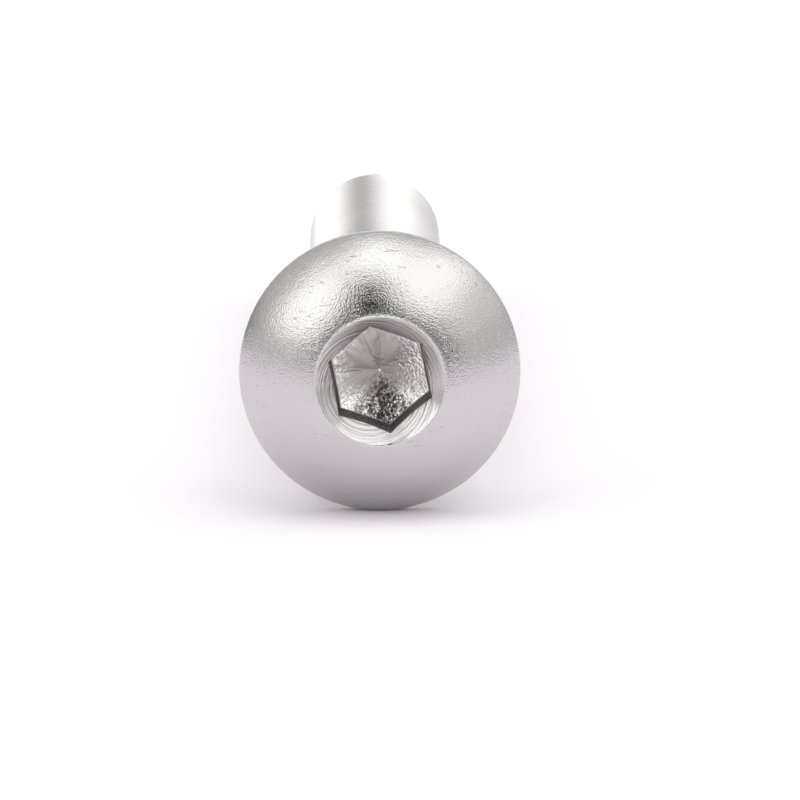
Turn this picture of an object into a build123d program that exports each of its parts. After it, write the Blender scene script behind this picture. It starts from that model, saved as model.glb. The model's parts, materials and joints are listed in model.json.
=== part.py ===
from build123d import *
from math import acos, atan2, cos, degrees, hypot, radians, sin, sqrt, tan
import os

# Button head screw with a hexagon socket, M5 x 35, threaded to the head, stainless steel.
#
# It is one piece: a blank with a forged head, a socket punched into the head, and a rolled thread.
# It is modelled upright about its own axis: the bearing face under the head is at Z = 0, the domed
# head rises above it and the shank hangs below it. Then it is laid on its side, as it comes to rest
# on a table: on the lower edge of its head and on the last full turn of its thread.
# All sizes are in millimetres and all angles in degrees.

# Thread, drawn as a plain cylinder of its outer diameter
THREAD_DIAMETER = 5.0
THREAD_PITCH = 0.8
SHANK_LENGTH = 35.0        # from the bearing face to the point

# Under the head, a neck as thick as the blank that the thread is rolled on
NECK_LENGTH = 1.2
UNDERHEAD_FILLET = 0.3

# Head
HEAD_DIAMETER = 9.5
HEAD_HEIGHT = 2.75
RIM_BAND_HEIGHT = 0.5      # the short straight wall round the foot of the dome
RIM_ROUNDING = 0.12        # above and below that wall
MOUTH_ROUNDING = 0.06      # where the dome turns down into the countersink

# Hexagon socket, shaped by a drafted hexagonal punch with a conical nose
KEY_SIZE = 3.0             # across the flats of the key that turns it
KEY_CLEARANCE = 0.05
SOCKET_DEPTH = 1.65        # from the top of the head to the foot of the socket's corners
SOCKET_DRAFT = 3.0         # how far each wall leans out towards the mouth
SOCKET_NOSE_ANGLE = 120.0  # included angle of the cone at the bottom
COUNTERSINK_ANGLE = 90.0   # included angle of the cone round the mouth
COUNTERSINK_LAND = 0.32    # from the socket's corners out to the edge of the countersink

# As the screw lies, how far a corner of the hexagon leans from straight up, anticlockwise as seen
# by someone who looks into the socket
LYING_ROLL = 11.0

HEXAGON_SIDES = 6
THREAD_DEPTH_SHARE = 0.6134  # of the pitch: how deep an ISO external thread is
PITCH_LINE_SHARE = 0.3248    # of the pitch: how far its pitch line, the blank's surface, is below its crest
QUARTER_TURN = 90.0

head_radius = HEAD_DIAMETER / 2
thread_radius = THREAD_DIAMETER / 2
neck_radius = thread_radius - PITCH_LINE_SHARE * THREAD_PITCH
first_thread_z = -NECK_LENGTH - (thread_radius - neck_radius)  # the thread runs out at 45 degrees
end_chamfer = THREAD_DEPTH_SHARE * THREAD_PITCH  # the point is chamfered down to the thread's root
last_thread_z = end_chamfer - SHANK_LENGTH

flat_to_corner = 1 / cos(radians(180 / HEXAGON_SIDES))
foot_apothem = (KEY_SIZE + KEY_CLEARANCE) / 2
mouth_apothem = foot_apothem + SOCKET_DEPTH * tan(radians(SOCKET_DRAFT))
mouth_radius = mouth_apothem * flat_to_corner + COUNTERSINK_LAND


def rounded(sketch, corner, radius):
    """The sketch with its corner nearest to the given point rounded."""
    return fillet(sketch.vertices().sort_by_distance(corner)[0], radius)


def dome_middle():
    """A point halfway along the dome, which is part of a sphere centred on the axis."""
    rise = HEAD_HEIGHT - RIM_BAND_HEIGHT
    centre_drop = (head_radius**2 - mouth_radius**2 - rise**2) / (2 * rise)
    dome_radius = hypot(head_radius, centre_drop)
    middle_radius = (head_radius + mouth_radius) / 2
    return middle_radius, RIM_BAND_HEIGHT - centre_drop + sqrt(dome_radius**2 - middle_radius**2)


def headed_blank():
    """The screw with its countersink and before its socket: one half section, turned about Z."""
    countersink_depth = (mouth_radius - foot_apothem) / tan(radians(COUNTERSINK_ANGLE / 2))
    mouth = (mouth_radius, HEAD_HEIGHT)
    rim_top = (head_radius, RIM_BAND_HEIGHT)
    rim_foot = (head_radius, 0)
    neck_top = (neck_radius, 0)

    countersink = Polyline(
        (0, HEAD_HEIGHT - countersink_depth),
        (foot_apothem, HEAD_HEIGHT - countersink_depth),
        mouth,
    )
    dome = ThreePointArc(mouth, dome_middle(), rim_top)
    shank = Polyline(
        rim_top,
        rim_foot,
        neck_top,
        (neck_radius, -NECK_LENGTH),
        (thread_radius, first_thread_z),
        (thread_radius, last_thread_z),
        (thread_radius - end_chamfer, -SHANK_LENGTH),
        (0, -SHANK_LENGTH),
        (0, HEAD_HEIGHT - countersink_depth),
    )
    section = make_face(countersink + dome + shank)
    section = rounded(section, mouth, MOUTH_ROUNDING)
    section = rounded(section, rim_top, RIM_ROUNDING)
    section = rounded(section, rim_foot, RIM_ROUNDING)
    section = rounded(section, neck_top, UNDERHEAD_FILLET)
    return revolve(Plane.XZ * section, Axis.Z)


def socket_punch():
    """The punch at the bottom of its stroke: a drafted hexagonal bar, ground to a cone at its nose."""
    foot_corner = foot_apothem * flat_to_corner
    nose_slope = 1 / tan(radians(SOCKET_NOSE_ANGLE / 2))
    tip_depth = SOCKET_DEPTH + foot_corner * nose_slope

    # The bar reaches past the tip, and each of its sides leans in below the top of the head.
    top = Plane.XY.offset(HEAD_HEIGHT)
    bar_end = RegularPolygon(mouth_apothem, HEXAGON_SIDES, major_radius=False)
    bar = extrude(top * Rot(Z=QUARTER_TURN) * bar_end, amount=-tip_depth)
    bar = draft(bar.faces().filter_by(Axis.Z, reverse=True), top, -SOCKET_DRAFT)
    # The cone that the nose is ground to is wider and taller than the bar.
    cone_height = 2 * tip_depth
    cone = Cone(0, cone_height / nose_slope, cone_height, align=(Align.CENTER, Align.CENTER, Align.MIN))
    return bar & Pos(0, 0, HEAD_HEIGHT - tip_depth) * cone


def rest_dip_and_height():
    """How far the point dips below level as the screw lies, and how high its bearing face's centre is.

    The table touches the rounded lower edge of the head and the crest of the last thread, so in the
    half section it is the line that touches both."""
    across = head_radius - RIM_ROUNDING - thread_radius
    along = RIM_ROUNDING - last_thread_z
    dip = acos(-RIM_ROUNDING / hypot(across, along)) - atan2(along, across)
    height = thread_radius * cos(dip) - last_thread_z * sin(dip)
    return degrees(dip), height


def lying(part):
    """The part on its side with its head towards -Y, and the middle of its footprint at the origin."""
    dip, height = rest_dip_and_height()
    laid = Pos(0, 0, height) * Rot(X=QUARTER_TURN - dip) * Rot(Z=LYING_ROLL) * part
    footprint = laid.bounding_box().center()
    return Pos(-footprint.X, -footprint.Y, 0) * laid


os.makedirs("parts", exist_ok=True)
screw = lying(headed_blank() - socket_punch())
export_step(screw, "parts/button_head_screw.step")
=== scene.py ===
# %% [markdown]
# # Button head screw, M5 x 35, stainless steel
#
# The real screw starts as a length of wire. Its head is pressed in a cold heading die, a punch
# sinks the hexagon socket into it, and the thread is rolled between two flat dies. Then a batch
# of screws is tumbled, which leaves a soft satin grain on whatever the other screws can reach.
# The construction model already holds every size, so this file only dresses it: it builds one
# closed mesh on the same sizes, with the thread that the construction model leaves out, and gives
# each surface the finish that its tool left behind.

# %% Load the construction model
import json
from functools import partial
from math import asin, ceil, cos, degrees, hypot, pi, radians, sin, sqrt, tan

import bmesh
import bpy
from mathutils import Matrix, Vector


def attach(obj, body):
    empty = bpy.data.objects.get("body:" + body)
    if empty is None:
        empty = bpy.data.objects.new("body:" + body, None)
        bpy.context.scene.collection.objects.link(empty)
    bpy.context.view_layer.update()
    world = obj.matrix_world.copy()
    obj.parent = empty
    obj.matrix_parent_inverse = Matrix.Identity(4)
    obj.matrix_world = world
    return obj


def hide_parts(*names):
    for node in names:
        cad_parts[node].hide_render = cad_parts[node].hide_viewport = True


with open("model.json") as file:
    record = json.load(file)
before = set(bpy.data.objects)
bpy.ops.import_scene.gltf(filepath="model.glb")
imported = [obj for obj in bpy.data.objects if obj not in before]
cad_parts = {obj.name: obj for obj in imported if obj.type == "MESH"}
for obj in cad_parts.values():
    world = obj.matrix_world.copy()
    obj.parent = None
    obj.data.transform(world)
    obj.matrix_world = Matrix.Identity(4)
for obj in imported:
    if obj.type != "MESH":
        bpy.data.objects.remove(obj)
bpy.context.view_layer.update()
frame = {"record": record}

MM = 0.001

# %% [markdown]
# ## The screw's own frame
#
# The screw lies on the edge of its head and on the last turn of its thread, so its axis dips a
# little. Everything on it is round, and is far easier to describe upright: the bearing face under
# the head at z = 0, the dome above it, the shank below. The place of the socket in the
# construction model says where the top of the head is and which way it faces, and that is all
# that is needed to lay the upright screw down in the right place.

# %% From the upright screw to the lying one
HEAD_HEIGHT = 2.75 * MM

socket = next(m for m in frame["record"]["mounts"] if m["name"] == "hex_socket")
outward = Vector(socket["axis"]).normalized()
sideways = Vector((1, 0, 0))
bearing_centre = Vector(socket["pos_m"]) - outward * HEAD_HEIGHT

lay_down = Matrix((sideways, outward.cross(sideways), outward)).transposed().to_4x4()
lay_down.translation = bearing_centre
print("the axis dips", round(degrees(asin(outward.z)), 2), "degrees towards the point")

# %% [markdown]
# ## Sizes
#
# These are the sizes of the construction model, in the upright frame, from the bearing face up.
# To them come a few small roundings that every tool leaves and that are too fine for that model.
# They matter to the eye, because a rounded edge catches a line of light and a sharp one doesn't.

# %% Sizes of the head, the socket and the thread
HEAD_RADIUS = 4.75 * MM
RIM_BAND = 0.5 * MM               # the short straight wall at the foot of the dome
RIM_ROUNDING = 0.12 * MM

SOCKET_DEPTH = 1.65 * MM          # to the foot of the socket's corners
SOCKET_FLAT = 1.525 * MM          # from the axis to the foot of each flat
DRAFT_SLOPE = tan(radians(3))
NOSE_SLOPE = tan(radians(30))     # the punch's nose is a cone of 120 degrees
COUNTERSINK_LAND = 0.32 * MM      # from the socket's corners out to the edge of the countersink
MOUTH_ROUNDING = 0.06 * MM
FIRST_CORNER = radians(101)       # where a corner of the hexagon is, 11 degrees left of the top

THREAD_RADIUS = 2.5 * MM
PITCH = 0.8 * MM
NECK_RADIUS = THREAD_RADIUS - 0.3248 * PITCH    # the blank's, which is where the pitch line is
NECK_LENGTH = 1.2 * MM
UNDERHEAD_FILLET = 0.3 * MM
LENGTH = 35 * MM
END_CHAMFER = 0.6134 * PITCH      # as deep as the thread

TIP_ROUNDING = 0.12 * MM          # at the point of the cone in the socket
FLOOR_ROUNDING = 0.05 * MM        # where the socket's walls meet its floor
WALL_EDGE_ROUNDING = 0.03 * MM    # where the walls break out into the countersink

HALF_SIDE = radians(30)           # the angle from the middle of a flat to a corner
FLAT_TO_CORNER = 1 / cos(HALF_SIDE)
mouth_flat = SOCKET_FLAT + SOCKET_DEPTH * DRAFT_SLOPE
mouth_radius = mouth_flat * FLAT_TO_CORNER + COUNTERSINK_LAND
tip_depth = SOCKET_DEPTH + SOCKET_FLAT * FLAT_TO_CORNER * NOSE_SLOPE
print("countersink", round(2 * mouth_radius / MM, 2), "mm across")

# %% [markdown]
# ## The head
#
# The dome is part of a sphere, the countersink and the floor are cones, and the socket's walls
# are flat: a lathe could turn everything but the walls. So the head is made as a lathe would make
# it, from half sections that stand side by side round the axis, and only the wall's distance from
# the axis changes from one half section to the next, as it does round a hexagon. All half
# sections have the same number of points, and the points that match are joined by faces. A Bevel
# modifier could round the edges too, but here each rounding is an arc in the section, so its size
# is exact.

# %% Rounded corners and divided lines
ROUNDING_STEPS = 5


def rounded_corner(before, corner, after, radius, steps=ROUNDING_STEPS):
    """Points of an arc of that radius which touches both lines that meet at the corner."""
    towards_before = (before - corner).normalized()
    towards_after = (after - corner).normalized()
    half_angle = towards_before.angle(towards_after) / 2
    bisector = (towards_before + towards_after).normalized()
    centre = corner + bisector * radius / sin(half_angle)
    start = corner + towards_before * radius / tan(half_angle) - centre
    end = corner + towards_after * radius / tan(half_angle) - centre
    sweep = start.angle(end)
    return [
        centre + (start * sin(sweep * (1 - i / steps)) + end * sin(sweep * i / steps)) / sin(sweep)
        for i in range(steps + 1)
    ]


def divided(start, end, steps):
    """Points between start and end, without either."""
    return [start.lerp(end, i / steps) for i in range(1, steps)]


print("a rounded corner has", ROUNDING_STEPS + 1, "points")

# %% [markdown]
# The outside of the head is the same all round, so its stretch of the section is worked out once.
# Points are pairs: distance from the axis, and height above the bearing face.

# %% The section from the mouth of the socket, over the dome and in to the neck
DOME_STEPS, SHORT_STEPS = 40, 5

mouth = Vector((mouth_radius, HEAD_HEIGHT))
rim_top = Vector((HEAD_RADIUS, RIM_BAND))
rim_foot = Vector((HEAD_RADIUS, 0))
neck_top = Vector((NECK_RADIUS, 0))
neck_foot = Vector((NECK_RADIUS, -NECK_LENGTH))

rise = HEAD_HEIGHT - RIM_BAND
sphere_drop = (HEAD_RADIUS**2 - mouth_radius**2 - rise**2) / (2 * rise)
sphere_radius = hypot(HEAD_RADIUS, sphere_drop)
sphere_middle = Vector((0, RIM_BAND - sphere_drop))
mouth_angle, rim_angle = asin(mouth_radius / sphere_radius), asin(HEAD_RADIUS / sphere_radius)
dome_angles = [
    mouth_angle + (rim_angle - mouth_angle) * i / DOME_STEPS for i in range(1, DOME_STEPS)
]
dome = [sphere_middle + sphere_radius * Vector((sin(a), cos(a))) for a in dome_angles]

rim_arc = rounded_corner(dome[-1], rim_top, rim_foot, RIM_ROUNDING)
foot_arc = rounded_corner(rim_top, rim_foot, neck_top, RIM_ROUNDING)
neck_arc = rounded_corner(rim_foot, neck_top, neck_foot, UNDERHEAD_FILLET)
dome_stretch = dome[1:-1] + rim_arc + foot_arc[:2]
underside_stretch = (foot_arc[2:] + divided(foot_arc[-1], neck_arc[0], SHORT_STEPS)
                     + neck_arc + divided(neck_arc[-1], neck_foot, SHORT_STEPS) + [neck_foot])
print("the dome's sphere has a radius of", round(sphere_radius / MM, 2), "mm")

# %% [markdown]
# Inside the socket, the wall's distance from the axis depends on how far round the hexagon a
# section is. Where a drafted wall meets the cone of the floor, and where it breaks out into the
# countersink, comes from crossing two straight lines.

# %% One whole half section
FLOOR_STEPS = 16


def half_section(angle_from_flat):
    """The half section that far from the middle of a flat, as (surface, points) stretches."""
    across = cos(angle_from_flat)
    foot = (mouth_flat - tip_depth * DRAFT_SLOPE) / (across - NOSE_SLOPE * DRAFT_SLOPE)
    edge = (mouth_flat - mouth_radius * DRAFT_SLOPE) / (across - DRAFT_SLOPE)
    tip = Vector((0, HEAD_HEIGHT - tip_depth))
    wall_foot = Vector((foot, tip.y + foot * NOSE_SLOPE))
    wall_top = Vector((edge, HEAD_HEIGHT - (mouth_radius - edge)))

    # The tip's arc runs from one side of the floor to the other; half of it is wanted.
    other_side = Vector((-wall_foot.x, wall_foot.y))
    tip_arc = rounded_corner(other_side, tip, wall_foot, TIP_ROUNDING, 2 * ROUNDING_STEPS)
    tip_arc = tip_arc[ROUNDING_STEPS:]
    floor_arc = rounded_corner(tip, wall_foot, wall_top, FLOOR_ROUNDING)
    edge_arc = rounded_corner(wall_foot, wall_top, mouth, WALL_EDGE_ROUNDING)
    mouth_arc = rounded_corner(wall_top, mouth, dome[0], MOUTH_ROUNDING)
    return [
        ("floor", tip_arc + divided(tip_arc[-1], floor_arc[0], FLOOR_STEPS)),
        ("wall", floor_arc + divided(floor_arc[-1], edge_arc[0], SHORT_STEPS)),
        ("countersink", edge_arc + divided(edge_arc[-1], mouth_arc[0], SHORT_STEPS)),
        ("dome", mouth_arc[:-1] + dome_stretch),
        ("underside", underside_stretch),
    ]


print("points in a half section:", {name: len(points) for name, points in half_section(0)})

# %% [markdown]
# The half sections are placed round the axis and joined. All the first points are the same one,
# the tip of the cone, so they are merged there. The last points are the neck's foot, where the
# thread's mesh will carry on with the same columns.

# %% Join the half sections
COLUMNS = 180        # half sections in a full turn; a multiple of 6, so that corners stay sharp
SURFACES = ["floor", "wall", "countersink", "dome", "underside", "thread", "end"]
MERGE = 0.001 * MM   # points nearer than this become one


def head_mesh():
    """The head, open at the foot of its neck. A face's material index tells its surface."""
    bm = bmesh.new()
    columns = []
    for column in range(COLUMNS):
        turn = 2 * pi * column / COLUMNS
        from_corner = abs((turn + HALF_SIDE) % (2 * HALF_SIDE) - HALF_SIDE)
        stretches = half_section(HALF_SIDE - from_corner)
        angle = FIRST_CORNER + turn
        columns.append([
            (bm.verts.new((p.x * cos(angle), p.x * sin(angle), p.y)), SURFACES.index(surface))
            for surface, points in stretches for p in points
        ])
    for here, there in zip(columns, columns[1:] + columns[:1]):
        for row in range(len(here) - 1):
            corners = [here[row], there[row], there[row + 1], here[row + 1]]
            face = bm.faces.new([vertex for vertex, _ in corners])
            face.material_index = here[row][1]
    bmesh.ops.remove_doubles(bm, verts=bm.verts, dist=MERGE)
    return bm


head = head_mesh()
print("head:", len(head.faces), "faces")

# %% [markdown]
# ## Nodes
#
# The thread and all finishes are made with nodes, and one small function adds any of them.
# Blender writes the names of inputs with capitals and the names of settings without, which is how
# the function tells them apart. Only inputs and outputs that are in use count, because a Mix
# node, for one, keeps a set of hidden ones for each kind of value.

# %% Add a node, and turn a colour to linear
MATH, VECTOR_MATH = "ShaderNodeMath", "ShaderNodeVectorMath"
NOISE, MAP_RANGE = "ShaderNodeTexNoise", "ShaderNodeMapRange"


def add(tree, kind, *in_order, output=None, **by_name):
    """Adds a node and returns one of its outputs: the first, unless another is named.

    Names in small letters are settings. All other values are inputs, in order or by name with _ for
    a space, and are linked where the value is an output of another node."""
    node = tree.nodes.new(kind)
    for name in [name for name in by_name if name.islower()]:
        setattr(node, name, by_name.pop(name))
    inputs = [plug for plug in node.inputs if plug.enabled]
    names = [plug.name for plug in inputs]
    named = [(inputs[names.index(name.replace("_", " "))], by_name[name]) for name in by_name]
    for plug, value in [*zip(inputs, in_order), *named]:
        if isinstance(value, bpy.types.NodeSocket):
            tree.links.new(value, plug)
        else:
            plug.default_value = value
    outputs = [plug for plug in node.outputs if plug.enabled and output in (None, plug.name)]
    return outputs[0] if outputs else None


def srgb(hex_colour):
    """The linear colour of an sRGB hex value."""
    channels = [int(hex_colour[i : i + 2], 16) / 255 for i in (1, 3, 5)]
    linear = [c / 12.92 if c <= 0.04045 else ((c + 0.055) / 1.055) ** 2.4 for c in channels]
    return (*linear, 1)


print("mid grey is", round(srgb("#808080")[0], 3), "in linear light")

# %% [markdown]
# ## The thread
#
# A thread is one groove that climbs by its pitch in every turn, so a rule gives its whole surface
# and Geometry Nodes can make it. A flat grid is the start: its rows run round the screw and its
# columns along it. The same few sums then place each point. Each row climbs by one pitch on its
# way round, so its end meets the start of the row that is a whole pitch above it, and the seam
# closes when the points that coincide are merged. How deep the groove is depends only on how far
# through a pitch a point is: flat at the crest, two flanks at 60 degrees to each other, and an
# arc at the root. Near the neck the groove fades out, as it does where the rolling dies stop, and
# towards the point everything stays under the end's chamfer. Rows past the end shrink onto the
# axis, which closes the end face.

# %% The inputs of the thread's tree
thread_rule = bpy.data.node_groups.new("rolled_thread", "GeometryNodeTree")
node = partial(add, thread_rule)

INPUT_KINDS = {
    "Pitch": "Float", "Major Radius": "Float", "Neck Radius": "Float", "Neck End": "Float",
    "Length": "Float", "Run-out": "Float", "End Chamfer": "Float", "Start Angle": "Float",
    "Columns": "Int", "Rows": "Int", "Thread Material": "Material", "End Material": "Material",
}
for name, kind in INPUT_KINDS.items():
    thread_rule.interface.new_socket(name, in_out="INPUT", socket_type="NodeSocket" + kind)
thread_rule.interface.new_socket("Geometry", in_out="OUTPUT", socket_type="NodeSocketGeometry")
given = {name: node("NodeGroupInput", output=name) for name in INPUT_KINDS}
print("the thread has", len(given), "inputs")

# %% [markdown]
# The grid numbers its points along one row after another, so a point's row and column follow from
# its number. Together they give its angle round the axis and its height.

# %% The grid, and each point's angle and height
ROWS_PER_PITCH = 8

across = node(MATH, given["Columns"], 1, operation="ADD")
grid = node("GeometryNodeMeshGrid", Vertices_X=given["Rows"], Vertices_Y=across)
number = node("GeometryNodeInputIndex")
middle_of_number = node(MATH, number, 0.5, operation="ADD")
row = node(MATH, node(MATH, middle_of_number, across, operation="DIVIDE"), operation="FLOOR")
row_start = node(MATH, row, across, operation="MULTIPLY")
column = node(MATH, number, row_start, operation="SUBTRACT")
turn = node(MATH, column, given["Columns"], operation="DIVIDE")
angle = node(MATH, turn, 2 * pi, given["Start Angle"], operation="MULTIPLY_ADD")

# One pitch up for each turn and one row down for each row, between the neck and the end
pitches_down = node(MATH, row, ROWS_PER_PITCH, operation="DIVIDE")
pitches_up = node(MATH, turn, pitches_down, operation="SUBTRACT")
free_height = node(MATH, given["Pitch"], pitches_up, given["Neck End"], operation="MULTIPLY_ADD")
end_height = node(MATH, given["Length"], -1, operation="MULTIPLY")
under_neck = node(MATH, free_height, given["Neck End"], operation="MINIMUM")
height = node(MATH, under_neck, end_height, operation="MAXIMUM")
print(len(thread_rule.nodes), "nodes so far")

# %% [markdown]
# The groove's depth is a share of the pitch. An ISO thread has a crest an eighth of the pitch
# wide, flanks that fall by the square root of 3 for each step along the axis, and a round root.

# %% How deep the groove is
# As shares of the pitch, and the first two as distances from the middle of the root
CREST_FROM, ROOT_TO = 7 / 16, 1 / 8
FLANK_SLOPE = sqrt(3)
ROOT_ARC_DEPTH, ROOT_ARC_RADIUS = 0.46907, 0.14434    # how deep the arc's centre is, and its radius

middle_of_row = node(MATH, row, 0.5, operation="ADD")
phase = node(MATH, middle_of_row, ROWS_PER_PITCH, operation="DIVIDE")
phase = node(MATH, node(MATH, phase, operation="FRACT"), 0.5, operation="SUBTRACT")
from_root = node(MATH, phase, operation="ABSOLUTE")
from_crest = node(MATH, CREST_FROM, from_root, operation="SUBTRACT")
down_flank = node(MATH, from_crest, 0, operation="MAXIMUM")
flank = node(MATH, down_flank, FLANK_SLOPE, operation="MULTIPLY")

arc_square = node(MATH, from_root, from_root, operation="MULTIPLY")
arc_square = node(MATH, ROOT_ARC_RADIUS**2, arc_square, operation="SUBTRACT")
arc_height = node(MATH, node(MATH, arc_square, 0, operation="MAXIMUM"), operation="SQRT")
root = node(MATH, arc_height, ROOT_ARC_DEPTH, operation="ADD")
is_root = node(MATH, from_root, ROOT_TO, operation="LESS_THAN")
groove = node("ShaderNodeMix", is_root, flank, root)
depth = node(MATH, groove, given["Pitch"], operation="MULTIPLY")
print(len(thread_rule.nodes), "nodes so far")

# %% [markdown]
# The distance from the axis is the thread's outer radius less that depth. A smooth ramp fades the
# thread in below the neck. Where the chamfer is nearer to the axis than the thread, its distance
# is taken, and past the end that shrinks to nothing.

# %% How far each point is from the axis
below_neck = node(MATH, given["Neck End"], height, operation="SUBTRACT")
fade = node(MAP_RANGE, below_neck, From_Max=given["Run-out"], interpolation_type="SMOOTHSTEP")
cut_radius = node(MATH, given["Major Radius"], depth, operation="SUBTRACT")
above_blank = node(MATH, cut_radius, given["Neck Radius"], operation="SUBTRACT")
threaded = node(MATH, above_blank, fade, given["Neck Radius"], operation="MULTIPLY_ADD")
end_radius = node(MATH, given["Major Radius"], given["End Chamfer"], operation="SUBTRACT")
above_end = node(MATH, free_height, given["Length"], operation="ADD")
chamfered = node(MATH, end_radius, above_end, operation="ADD")
radius = node(MATH, threaded, chamfered, operation="MINIMUM")
radius = node(MATH, radius, 0, operation="MAXIMUM")
print(len(thread_rule.nodes), "nodes so far")

# %% [markdown]
# Last, the points go to their places, points that coincide become one, and the faces get their
# materials: the end face is whatever lies at the very bottom. There are no instances in this
# tree, and Realize Instances keeps it safe to add some, because an export drops them.

# %% Place the points and give the faces their materials
x = node(MATH, radius, node(MATH, angle, operation="COSINE"), operation="MULTIPLY")
y = node(MATH, radius, node(MATH, angle, operation="SINE"), operation="MULTIPLY")
place = node("ShaderNodeCombineXYZ", x, y, height)
placed = node("GeometryNodeSetPosition", Geometry=grid, Position=place)
merged = node("GeometryNodeMergeByDistance", Geometry=placed, Distance=MERGE)
z = node("ShaderNodeSeparateXYZ", node("GeometryNodeInputPosition"), output="Z")
end_limit = node(MATH, end_height, MERGE, operation="ADD")
at_end = node(MATH, z, end_limit, operation="LESS_THAN")
realized = node("GeometryNodeRealizeInstances", Geometry=merged)
rolled = node("GeometryNodeSetMaterial", Geometry=realized, Material=given["Thread Material"])
ended = node("GeometryNodeSetMaterial", Geometry=rolled, Selection=at_end,
             Material=given["End Material"])
node("NodeGroupOutput", Geometry=ended)
print("thread rule:", len(thread_rule.nodes), "nodes")

# %% [markdown]
# ## Finishes
#
# The whole screw is one bar of austenitic stainless steel, a pale grey metal, so all finishes are
# that grey or a little paler or duller, except where shade is painted into the colour: at the
# thread's root and in the grazing reflections of the socket's walls. Otherwise what differs is how
# each surface was worked: that shows in how rough it is and in a relief of a few hundredths of a
# millimetre at most. All patterns are measured in the upright frame of the screw, so that marks run
# round its axis or along it as the tool did. Widths and heights of marks are in millimetres. One
# dot of the picture is about 0.034 mm, so marks finer than that are drawn wider than they are.

# %% What all finishes share
STEEL = srgb("#CAC7C7")


def new_finish(name):
    """A new material, and the function that adds nodes to it."""
    material = bpy.data.materials.new(name)
    material.use_nodes = True
    material.node_tree.nodes.clear()
    return material, partial(add, material.node_tree)


def upright(node):
    """Where a point is in the upright frame, in millimetres."""
    place = node("ShaderNodeTexCoord", output="Object")
    return node("ShaderNodeMapping", vector_type="TEXTURE", Vector=place,
                Location=lay_down.translation, Rotation=lay_down.to_euler(), Scale=(MM, MM, MM))


def from_axis(node, place):
    """How far a point is from the axis."""
    flat = node(VECTOR_MATH, place, (1, 1, 0), operation="MULTIPLY")
    return node(VECTOR_MATH, flat, operation="LENGTH")


print("steel in linear light:", [round(channel, 3) for channel in STEEL])

# %% [markdown]
# A relief is a height at each point. Noise gives it, and a Bump node turns the sum of all heights
# into shading. That is enough for marks which are too low to change the outline.

# %% Relief, and bare steel that has it
WHITE = srgb("#FFFFFF")


def relief(node, place, width, height, **settings):
    """Uneven marks of about that width and height."""
    noise = node(NOISE, Vector=place, Scale=1 / width, **settings)
    return node(MATH, noise, height, operation="MULTIPLY")


def bare_steel(node, colour, *heights, roughness, edge=WHITE):
    """Steel of that colour, with the relief that these heights add up to.

    The edge colour tints what it reflects at a grazing angle, and white leaves that as it is."""
    total = heights[0]
    for height in heights[1:]:
        total = node(MATH, total, height, operation="ADD")
    normal = node("ShaderNodeBump", Strength=1.0, Distance=MM, Height=total)
    shader = node("ShaderNodeBsdfPrincipled", Base_Color=colour, Metallic=1.0,
                  Roughness=roughness, Specular_Tint=edge, Normal=normal)
    node("ShaderNodeOutputMaterial", Surface=shader)


print("white is", WHITE, "in linear light")

# %% [markdown]
# ### Tumbled dome
#
# Thousands of screws turn over each other in a drum with a fine abrasive. What the eye gets is a
# satin metal: reflections keep their shape, but a fine grain breaks up their edges, and here and
# there is a nick or a pit where another screw struck. Noise gives the grain. A nick is a noise
# that is stretched one way, of which only the highest peaks are left.

# %% Tumbled stainless steel: satin, with grainy edges to its reflections
GRAIN = (0.06, 0.0145)               # width and height; wider than the real grain, so that it shows
WAVES = (0.8, 0.012)
NICK_WIDTH, NICK_DEPTH, NICK_PEAKS = 0.17, 0.013, (0.75, 0.82)
NICK_STRETCH = (0.3, 1.8, 1.0)
PIT_WIDTH, PIT_DEPTH, PIT_PEAKS = 0.16, 0.005, (0.82, 0.88)
PATCH_WIDTH, PATCH_PEAKS = 1.4, (0.3, 0.7)
SATIN = (0.05, 0.09)                 # roughness, in patches that were rubbed more or less

tumbled, node = new_finish("tumbled_stainless_steel")
place = upright(node)
grain = relief(node, place, *GRAIN)
waves = relief(node, place, *WAVES, Detail=1.0)
stretched = node(VECTOR_MATH, place, NICK_STRETCH, operation="MULTIPLY")
nicks = node(NOISE, Vector=stretched, Scale=1 / NICK_WIDTH, Detail=0.0)
nicks = node(MAP_RANGE, nicks, *NICK_PEAKS, 0.0, -NICK_DEPTH, interpolation_type="SMOOTHSTEP")
pits = node(NOISE, Vector=place, Scale=1 / PIT_WIDTH, Detail=0.0)
pits = node(MAP_RANGE, pits, *PIT_PEAKS, 0.0, -PIT_DEPTH, interpolation_type="SMOOTHSTEP")
patches = node(NOISE, Vector=place, Scale=1 / PATCH_WIDTH, Detail=3.0)
satin = node(MAP_RANGE, patches, *PATCH_PEAKS, *SATIN, interpolation_type="SMOOTHSTEP")
bare_steel(node, STEEL, grain, waves, nicks, pits, roughness=satin)
print(tumbled.name, "with", len(tumbled.node_tree.nodes), "nodes")

# %% [markdown]
# ### Countersink
#
# The countersink is turned, or coined with a turned tool, which leaves fine arcs round the axis,
# not all of them quite concentric. What the eye gets is a bright cone that glitters in thin arcs.
# So the noise reads only the distance from a centre a little off the axis, and drifts a little on
# the way round, which keeps the arcs from being perfect circles. The arcs are deepest at the
# lower left.

# %% Turned stainless steel: bright, with fine arcs round the axis
ARC_WIDTH, DEEP_ARC, FAINT_ARC = 0.07, 0.027, 0.008
ARC_SHIFT = (0.25, 0.3, 0)           # how far the arcs' centre is to the lower left of the axis
ARC_DRIFT = (0.045, 0.045, 0.0)
DEEP_TO_FAINT = (-0.5, 1.2)          # places along a line from lower left to upper right
TURNED_GRAIN = (0.1, 0.002)

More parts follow.
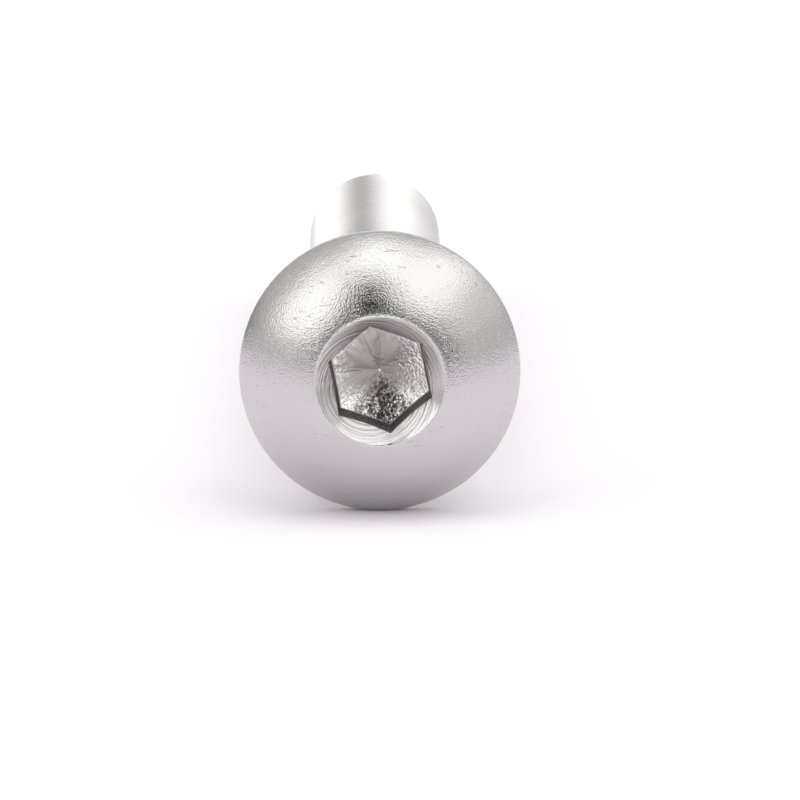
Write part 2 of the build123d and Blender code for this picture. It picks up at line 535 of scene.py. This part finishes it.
turned, node = new_finish("turned_stainless_steel")
place = upright(node)
off_centre = node(VECTOR_MATH, place, ARC_SHIFT, operation="ADD")
ring_distance = node("ShaderNodeCombineXYZ", from_axis(node, off_centre))
drift = node(VECTOR_MATH, place, ARC_DRIFT, operation="MULTIPLY")
drifting = node(VECTOR_MATH, ring_distance, drift, operation="ADD")
up_right = node(VECTOR_MATH, place, (0.7, 0.7, 0), operation="DOT_PRODUCT")
arc_height = node(MAP_RANGE, up_right, *DEEP_TO_FAINT, DEEP_ARC, FAINT_ARC,
                  interpolation_type="SMOOTHSTEP")
arcs = relief(node, drifting, ARC_WIDTH, arc_height, Detail=3.0)
grain = relief(node, place, *TURNED_GRAIN)
bare_steel(node, STEEL, arcs, grain, roughness=0.2)
print(turned.name, "with", len(turned.node_tree.nodes), "nodes")

# %% [markdown]
# ### Socket walls
#
# The punch scrapes down the walls and leaves them dull, with streaks that run along the axis, which
# is why the noise is squeezed that way. What the eye gets is a hexagon that is pale where it is
# seen square on, in a reflection, and dark along the grazing line of sight from the mouth. That
# dark is painted shade of the recess: the steel is only a little darker than elsewhere, and the
# tint of its grazing reflections is painted nearly black.

# %% Scraped stainless steel: dull, with faint streaks down the walls and painted shade in their grazing reflections
# A slightly darker steel, and a nearly black edge colour that paints the recess's shade into the
# walls' grazing reflections
WALL_STEEL, WALL_PAINTED_SHADE = srgb("#C2BEBC"), srgb("#181818")
WALL_STREAKS = (0.08, 0.004)
WALL_SQUEEZE = (1, 1, 0.1)

scraped_with_painted_shade, node = new_finish("scraped_steel_painted_shade")
squeezed = node(VECTOR_MATH, upright(node), WALL_SQUEEZE, operation="MULTIPLY")
streaks = relief(node, squeezed, *WALL_STREAKS)
bare_steel(node, WALL_STEEL, streaks, roughness=0.42, edge=WALL_PAINTED_SHADE)
print(scraped_with_painted_shade.name, "with", len(scraped_with_painted_shade.node_tree.nodes), "nodes")

# %% [markdown]
# ### Socket floor
#
# The floor is struck by the punch's ground nose. Metal flows outwards from the tip and leaves a
# fan of streaks, and further out the coarse grain of the steel itself comes up. What the eye gets
# is a star that glitters. Noise on the direction from the axis alone is constant along each ray,
# so it gives the fan, and its height grows with the distance so that each streak keeps its slope.
# So the fan's widths and heights are shares of the distance from the axis, and not millimetres.

# %% Struck stainless steel: the fan of streaks
FINE_FAN = (0.12, 0.016)
BROAD_FAN_WIDTH, BROAD_FAN_HEIGHT = 0.3, 0.032
FAN_DRIFT = (0.25, 0.25, 0.25)       # how much a ray changes for each millimetre along it

struck, node = new_finish("struck_stainless_steel")
place = upright(node)
flat = node(VECTOR_MATH, place, (1, 1, 0), operation="MULTIPLY")
ray = node(VECTOR_MATH, flat, operation="NORMALIZE")
drift = node(VECTOR_MATH, place, FAN_DRIFT, operation="MULTIPLY")
fan = node(VECTOR_MATH, ray, drift, operation="ADD")
fine = relief(node, fan, *FINE_FAN, Detail=3.0)
broad = node(NOISE, Vector=fan, Scale=1 / BROAD_FAN_WIDTH, Detail=1.0)
both = node(MATH, broad, BROAD_FAN_HEIGHT, fine, operation="MULTIPLY_ADD")
streaks = node(MATH, both, from_axis(node, place), operation="MULTIPLY")
print("the fan has", len(struck.node_tree.nodes), "nodes")

# %% [markdown]
# The coarse grain is highest at the lower right. Specks of dark lubricant are left in the sector
# that lies lowest: noise with its contrast raised gives the specks, and how far a point is down,
# less how far it is to the side, gives the sector.

# %% Struck stainless steel: its coarse grain and dark specks
COARSE_WIDTH, LOW_GRAIN, HIGH_GRAIN = 0.1, 0.004, 0.024
LOW_TO_HIGH = (-0.7, 0.5)            # places along a line from upper left to lower right
SECTOR_EDGE = (-0.2, 0.5)
SPECK_WIDTH, SPECK_PEAKS = 0.12, (0.33, 0.6)
CLEAN_FLOOR, RESIDUE = srgb("#F0EEEC"), srgb("#63605A")

down_right = node(VECTOR_MATH, place, (0.7, -0.7, 0), operation="DOT_PRODUCT")
coarse = node(MAP_RANGE, down_right, *LOW_TO_HIGH, LOW_GRAIN, HIGH_GRAIN,
              interpolation_type="SMOOTHSTEP")
grain = relief(node, place, COARSE_WIDTH, coarse)
down = node(VECTOR_MATH, place, (0.1, -1, 0), operation="DOT_PRODUCT")
side = node(VECTOR_MATH, place, (1, 0.1, 0), operation="DOT_PRODUCT")
in_sector = node(MATH, down, node(MATH, side, operation="ABSOLUTE"), operation="SUBTRACT")
in_sector = node(MAP_RANGE, in_sector, *SECTOR_EDGE, interpolation_type="SMOOTHSTEP")
specks = node(NOISE, Vector=place, Scale=1 / SPECK_WIDTH)
specks = node(MAP_RANGE, specks, *SPECK_PEAKS, interpolation_type="SMOOTHSTEP")
residue = node(MATH, specks, in_sector, operation="MULTIPLY")
colour = node("ShaderNodeMix", residue, CLEAN_FLOOR, RESIDUE, data_type="RGBA")
bare_steel(node, colour, streaks, grain, roughness=0.13)
print(struck.name, "with", len(struck.node_tree.nodes), "nodes")

# %% [markdown]
# ### Thread
#
# A rolled thread is burnished by the dies. What the eye gets is paler, smoother steel on the crests
# and flanks, with fine lines that run along the thread. Down at the root the colour is painted
# dark, as painted shade in the groove, and it grows paler with the distance from the axis. Lines
# along a flank are lines of equal distance from the axis, so the noise reads that distance.

# %% Rolled stainless steel: burnished crests and flanks, painted shade at the root
LINES = (0.05, 0.003)
LINE_DRIFT = (0.01, 0.01, 0.01)
ROLLED_GRAIN = (0.12, 0.002)
PAINTED_SHADE_UP_TO, PAINTED_SHADE_GONE_FROM = 2.05, 2.38    # distances from the axis
# The first colour is painted shade down in the groove's root, the second the burnished steel of the
# crests and flanks
ROOT_PAINTED_SHADE, BURNISHED = srgb("#8D8A88"), srgb("#F0EEEE")

rolled, node = new_finish("rolled_steel_painted_root_shade")
place = upright(node)
distance = from_axis(node, place)
ring_distance = node("ShaderNodeCombineXYZ", distance)
drift = node(VECTOR_MATH, place, LINE_DRIFT, operation="MULTIPLY")
drifting = node(VECTOR_MATH, ring_distance, drift, operation="ADD")
lines = relief(node, drifting, *LINES)
grain = relief(node, place, *ROLLED_GRAIN)
# Dark at the root and pale towards the crests: the dark is painted shade
burnished = node(MAP_RANGE, distance, PAINTED_SHADE_UP_TO, PAINTED_SHADE_GONE_FROM, interpolation_type="SMOOTHSTEP")
colour = node("ShaderNodeMix", burnished, ROOT_PAINTED_SHADE, BURNISHED, data_type="RGBA")
bare_steel(node, colour, lines, grain, roughness=0.33)
print(rolled.name, "with", len(rolled.node_tree.nodes), "nodes")

# %% [markdown]
# ### Underside
#
# The bearing face was pressed against a turned die, so the eye gets faint arcs round the axis.
# Noise that reads only the distance from the axis gives them.

# %% Pressed stainless steel: faint arcs round the axis
DIE_ARCS = (0.08, 0.006)
PRESSED_GRAIN = (0.12, 0.004)

pressed, node = new_finish("pressed_stainless_steel")
place = upright(node)
ring_distance = node("ShaderNodeCombineXYZ", from_axis(node, place))
arcs = relief(node, ring_distance, *DIE_ARCS)
grain = relief(node, place, *PRESSED_GRAIN)
bare_steel(node, STEEL, arcs, grain, roughness=0.26)
print(pressed.name, "with", len(pressed.node_tree.nodes), "nodes")

# %% [markdown]
# ### End
#
# The end was sheared off the wire. Its metal is torn, which the eye gets as a rough, duller face
# with ridges across it. Noise with more detail than elsewhere, drawn out one way, gives that.

# %% Sheared stainless steel: rough and dull, torn across
TORN_STEEL = srgb("#BDB9B8")
TEARS = (0.25, 0.05)
TEAR_STRETCH = (1.0, 0.3, 1.0)

sheared, node = new_finish("sheared_stainless_steel")
stretched = node(VECTOR_MATH, upright(node), TEAR_STRETCH, operation="MULTIPLY")
tears = relief(node, stretched, *TEARS, Detail=4.0, Roughness=0.6)
bare_steel(node, TORN_STEEL, tears, roughness=0.38)
print(sheared.name, "with", len(sheared.node_tree.nodes), "nodes")

# %% [markdown]
# ## Roll the thread
#
# The tree is put on an empty mesh as a modifier. Its inputs are known by identifier, not by name,
# so a loop over the tree's interface matches the two. What the modifier makes is then copied into
# a plain mesh, and the object that carried the modifier has done its work.

# %% Roll the thread
FINISHES = {"floor": struck, "wall": scraped_with_painted_shade, "countersink": turned, "dome": tumbled,
            "underside": pressed, "thread": rolled, "end": sheared}

SPARE_ROWS = 2 * ROWS_PER_PITCH    # so that the climbing rows cover the neck's end and the end face

rows_along = (LENGTH - NECK_LENGTH) / PITCH * ROWS_PER_PITCH
rows_to_axis = THREAD_RADIUS / PITCH * ROWS_PER_PITCH
thread_values = {
    "Pitch": PITCH, "Major Radius": THREAD_RADIUS, "Neck Radius": NECK_RADIUS,
    "Neck End": -NECK_LENGTH, "Length": LENGTH, "Run-out": PITCH, "End Chamfer": END_CHAMFER,
    "Start Angle": FIRST_CORNER, "Columns": COLUMNS,
    "Rows": ceil(rows_along + rows_to_axis) + SPARE_ROWS,
    "Thread Material": FINISHES["thread"], "End Material": FINISHES["end"],
}
carrier = bpy.data.objects.new("thread", bpy.data.meshes.new("thread"))
bpy.context.scene.collection.objects.link(carrier)
modifier = carrier.modifiers.new("rolled_thread", "NODES")
modifier.node_group = thread_rule
for item in thread_rule.interface.items_tree:
    if item.name in thread_values:
        modifier[item.identifier] = thread_values[item.name]

evaluated = carrier.evaluated_get(bpy.context.evaluated_depsgraph_get())
thread_mesh = bpy.data.meshes.new_from_object(evaluated)
bpy.data.objects.remove(carrier)
print("thread:", len(thread_mesh.polygons), "faces")

# %% [markdown]
# ## Join head and thread
#
# The thread's first row lies on the last points of the head, so merging what coincides turns the
# two into one closed mesh. While it still stands upright, its volume and its open edges are counted
# and printed: no edge should be open, and the volume should be that of the construction model less
# the groove. Then it is laid down. Faces are shaded smooth except over edges sharper than 32
# degrees.

# %% Join head and thread
SHARP_ANGLE = radians(32)

slot_of = [SURFACES.index("end" if material == sheared else "thread")
           for material in thread_mesh.materials]
thread_mesh.polygons.foreach_set(
    "material_index", [slot_of[face.material_index] for face in thread_mesh.polygons])
head.from_mesh(thread_mesh)
bmesh.ops.remove_doubles(head, verts=head.verts, dist=MERGE)
bmesh.ops.recalc_face_normals(head, faces=head.faces)
for face in head.faces:
    face.smooth = True
open_edges = sum(not edge.is_manifold for edge in head.edges)
print("volume", round(head.calc_volume() / MM**3, 1), "mm3, open edges", open_edges)

screw_mesh = bpy.data.meshes.new("button_head_screw_dressed")
for surface in SURFACES:
    screw_mesh.materials.append(FINISHES[surface])
head.transform(lay_down)
head.to_mesh(screw_mesh)
screw_mesh.set_sharp_from_angle(angle=SHARP_ANGLE)
screw = bpy.data.objects.new("button_head_screw_dressed", screw_mesh)
bpy.context.scene.collection.objects.link(screw)
print("screw:", sum(len(face.vertices) - 2 for face in screw_mesh.polygons), "triangles")

# %% [markdown]
# ## Hand the screw over
#
# The dressed screw takes the place of the plain one, and belongs to the same body.

# %% Hand the screw to the frame
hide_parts("button_head_screw")
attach(screw, "root")
print("shown instead of the plain solid:", screw.name)

# %% [markdown]
# ## The table
#
# The screw lies on a white table, which the camera and the reflections see as plain white. A
# little glow in its material does that without more light on the screw. The glow is held back
# where the table is covered from above, so that the soft shadow under the screw stays.

# %% Matt white laminate: plain white, with a faint mauve that the steel picks up
TABLE_HALF_WIDTH = 1.5    # metres
LAMINATE = srgb("#F4EFF5")
GLOW = 0.2
SHADOW_REACH = 6 * MM


def flat_sheet(name, corners, material):
    """A flat sheet that belongs to the studio and not to the screw."""
    mesh = bpy.data.meshes.new(name)
    mesh.from_pydata(corners, [], [range(len(corners))])
    mesh.materials.append(material)
    sheet = bpy.data.objects.new(name, mesh)
    bpy.context.scene.collection.objects.link(sheet)
    return sheet


white, node = new_finish("matt_white_laminate")
diffuse = node("ShaderNodeBsdfDiffuse", Color=LAMINATE)
seen = node(MATH, node("ShaderNodeLightPath", output="Is Camera Ray"),
            node("ShaderNodeLightPath", output="Is Glossy Ray"), operation="MAXIMUM")
seen = node(MATH, seen, node("ShaderNodeLightPath", output="Is Transmission Ray"),
            operation="MAXIMUM")
uncovered = node("ShaderNodeAmbientOcclusion", samples=8, Distance=SHADOW_REACH, output="AO")
glow = node(MATH, node(MATH, seen, uncovered, operation="MULTIPLY"), GLOW, operation="MULTIPLY")
emission = node("ShaderNodeEmission", Color=WHITE, Strength=glow)
node("ShaderNodeOutputMaterial", Surface=node("ShaderNodeAddShader", diffuse, emission))

table_corners = [(x * TABLE_HALF_WIDTH, y * TABLE_HALF_WIDTH, 0)
                 for x, y in [(-1, -1), (1, -1), (1, 1), (-1, 1)]]
flat_sheet("table", table_corners, white)
print("table", 2 * TABLE_HALF_WIDTH, "m wide")

# %% [markdown]
# ## Light
#
# Bare metal shows little but what it reflects, so it is lit with large white cards, and black
# cards draw the dark shapes that make it look like metal. Each card is placed by the directions
# in which the head sees it: azimuth 0 is the front and positive is to the right, and elevation is
# measured up from level. Where two cards overlap, the nearer one hides the other.

# %% Directions, and the corners of an arch
CAMERA_ELEVATION = 12.32
ARCH_ELEVATION = -5              # where the middle of the dome would mirror the camera to
ARCH_STEPS = 12
head_centre = bearing_centre + outward * RIM_BAND


def direction(azimuth, elevation):
    """Unit vector from the head in that direction, given in degrees."""
    a, e = radians(azimuth), radians(elevation)
    return Vector((sin(a) * cos(e), -cos(a) * cos(e), sin(e)))


def arch(inner, outer, left, right):
    """Corners of an arch round that mirrored line, from left to right in degrees from the top."""
    turns = [radians(left + (right - left) * i / ARCH_STEPS) for i in range(ARCH_STEPS + 1)]
    around = [(outer * sin(t), ARCH_ELEVATION + outer * cos(t)) for t in turns]
    inside = [(inner * sin(t), ARCH_ELEVATION + inner * cos(t)) for t in reversed(turns)]
    return around + inside


print("an arch has", len(arch(1, 2, -90, 90)), "corners")

# %% Cards that the camera doesn't see
# Name, corners as azimuth and elevation, strength where 1 is white, and distance in metres
CARDS = [
    ("left_softbox", [(-90, 17), (-36, 15), (-34, 60), (-98, 60)], 1.75, 0.6),
    ("right_softbox",
     [(24, 42), (50, 33), (125, 35), (130, 80), (-4, 80), (2, 64), (12, 52)], 1.65, 0.6),
    ("right_fill", [(48, 14), (125, 14), (125, 40), (46, 38)], 0.95, 0.62),
    ("overhead_panel", [(a, 74) for a in range(-180, 180, 30)], 2.0, 0.64),
    ("left_top_panel", [(-105, 60), (-24, 62), (-4, 80), (-110, 76)], 1.7, 0.62),
    ("front_panel", [(-12, 2), (12, 2), (12, 22), (-12, 22)], 2.2, 0.66),
    ("dark_arch", arch(42, 56, -72, 80), 0.01, 0.5),
    ("dark_flag", [(-35, 42), (15, 46), (11, 61), (-5, 72), (-34, 69)], 0.01, 0.52),
    ("dark_card_left", [(-112, -1), (-160, -1), (-160, 34), (-112, 14)], 0.3, 0.6),
    ("dark_card_right", [(125, -1), (160, -1), (160, 34), (125, 14)], 0.35, 0.6),
]

for name, outline, strength, distance in CARDS:
    material, node = new_finish(name)
    emission = node("ShaderNodeEmission", Color=WHITE, Strength=strength)
    node("ShaderNodeOutputMaterial", Surface=emission)
    corners = [head_centre + direction(a, e) * distance for a, e in outline]
    flat_sheet(name, corners, material).visible_camera = False
print("cards:", len(CARDS))

# %% [markdown]
# A grey sky fills in the rest, so that only the dark cards are mirrored as nearly black.

# %% Sky
SKY_STRENGTH = 0.68

sky = bpy.data.worlds.new("studio")
bpy.context.scene.world = sky
sky.use_nodes = True
background = sky.node_tree.nodes["Background"]
background.inputs["Color"].default_value = WHITE
background.inputs["Strength"].default_value = SKY_STRENGTH
print("sky:", SKY_STRENGTH, "of white")

# %% [markdown]
# ## Camera
#
# The camera looks at the head from in front and a little above, with a long lens from near by.
# The focal length is given in dots of the picture, which is 800 dots wide and shows the whole
# width of the sensor. The head is to appear a little left of the middle and above it, so the
# camera aims a little to the other side.

# %% Camera
PICTURE_WIDTH, SENSOR_WIDTH = 800, 36    # dots, and millimetres
FOCAL_DOTS, DOTS_PER_MM = 6735, 29.63    # the second is how large a millimetre at the head is
CAMERA_DISTANCE = 0.2273                 # metres
CAMERA_AZIMUTH = -0.32
NEAREST_SEEN = 10 * MM
HEAD_DOT = (379.9, 371.4)        # from the picture's top left corner

back = direction(CAMERA_AZIMUTH, CAMERA_ELEVATION)
right = Vector((0, 0, 1)).cross(back).normalized()
up = back.cross(right)
to_right = (HEAD_DOT[0] - PICTURE_WIDTH / 2) / DOTS_PER_MM * MM
to_top = (PICTURE_WIDTH / 2 - HEAD_DOT[1]) / DOTS_PER_MM * MM

camera = bpy.data.objects.new("camera", bpy.data.cameras.new("camera"))
bpy.context.scene.collection.objects.link(camera)
camera.data.sensor_width = SENSOR_WIDTH
camera.data.lens = FOCAL_DOTS / PICTURE_WIDTH * SENSOR_WIDTH
camera.data.clip_start = NEAREST_SEEN
camera.location = head_centre + back * CAMERA_DISTANCE
aim = head_centre - right * to_right - up * to_top
camera.rotation_euler = (aim - camera.location).to_track_quat("-Z", "Y").to_euler()
bpy.context.scene.camera = camera
bpy.context.scene.view_settings.view_transform = "Standard"
print("lens", round(camera.data.lens), "mm")
